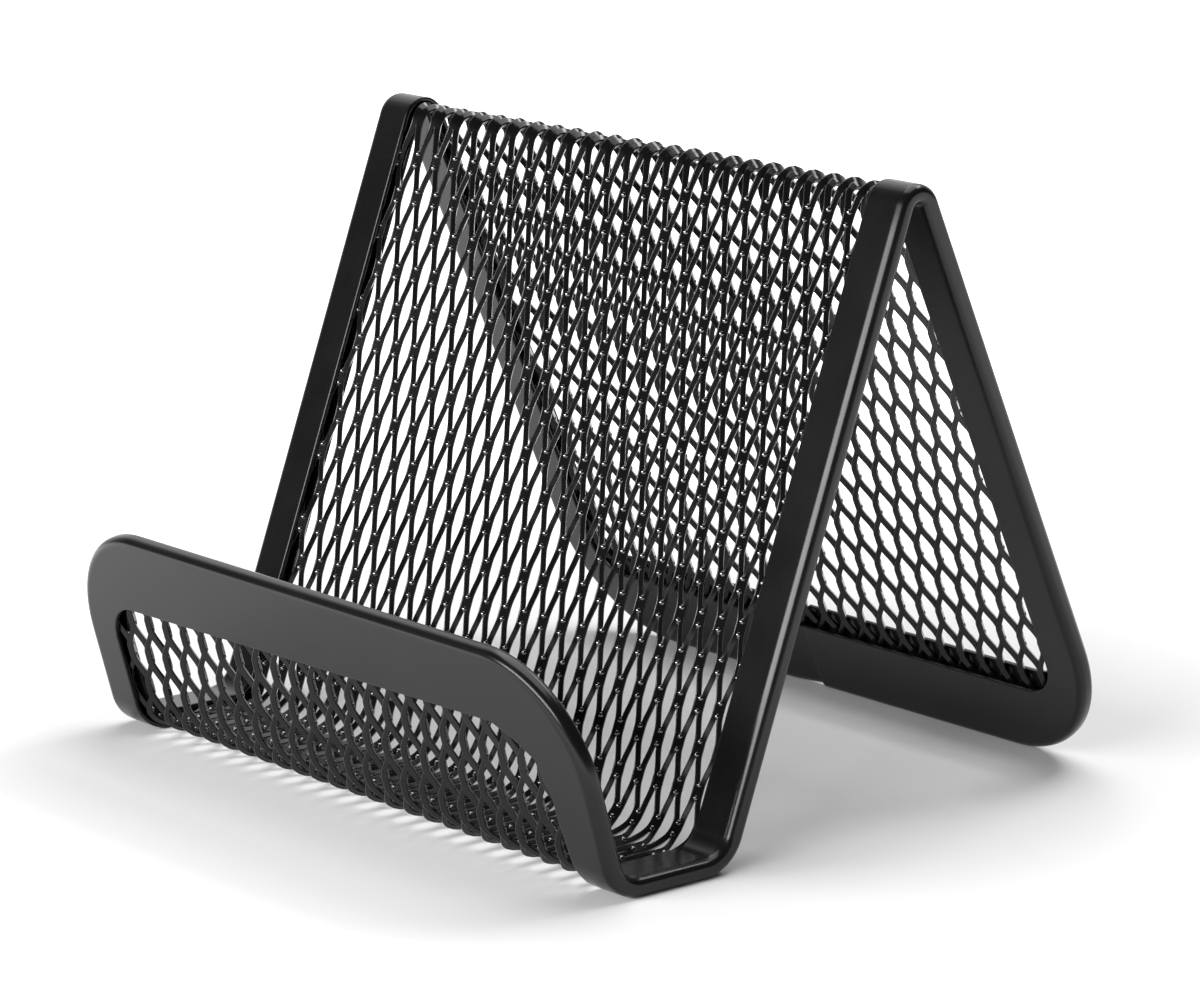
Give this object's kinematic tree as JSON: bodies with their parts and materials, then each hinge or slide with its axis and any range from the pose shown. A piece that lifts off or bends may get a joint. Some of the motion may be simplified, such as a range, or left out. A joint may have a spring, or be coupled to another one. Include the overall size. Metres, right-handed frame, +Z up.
{
  "type": "business card holder",
  "caption": "Free-standing desk stand for business cards, bent from one sheet of expanded-metal mesh edged with a folded steel channel: front lip, floor, sloping back and rear leg.",
  "frame": {"origin": "on the table, under the middle of the stand's outer box", "axes": "+X runs across the stand along its folds, to the right as seen from the front; -Y is the front with the lip, +Y the rear with the leg; +Z is up"},
  "size_m": [0.098, 0.0852, 0.0743],
  "materials": {
    "rim_paint": "satin black paint on folded sheet steel",
    "mesh_paint": "satin black paint, pooled a little at the bonds of the expanded steel mesh"
  },
  "bodies": {
    "root": {"rim_lip": "rim_paint", "rim_floor_left": "rim_paint", "rim_floor_right": "rim_paint", "rim_back_left": "rim_paint", "rim_back_right": "rim_paint", "rim_leg_left": "rim_paint", "rim_leg_right": "rim_paint", "mesh_lip": "mesh_paint", "mesh_floor": "mesh_paint", "mesh_back": "mesh_paint", "mesh_leg": "mesh_paint"}
  },
  "joints": []
}
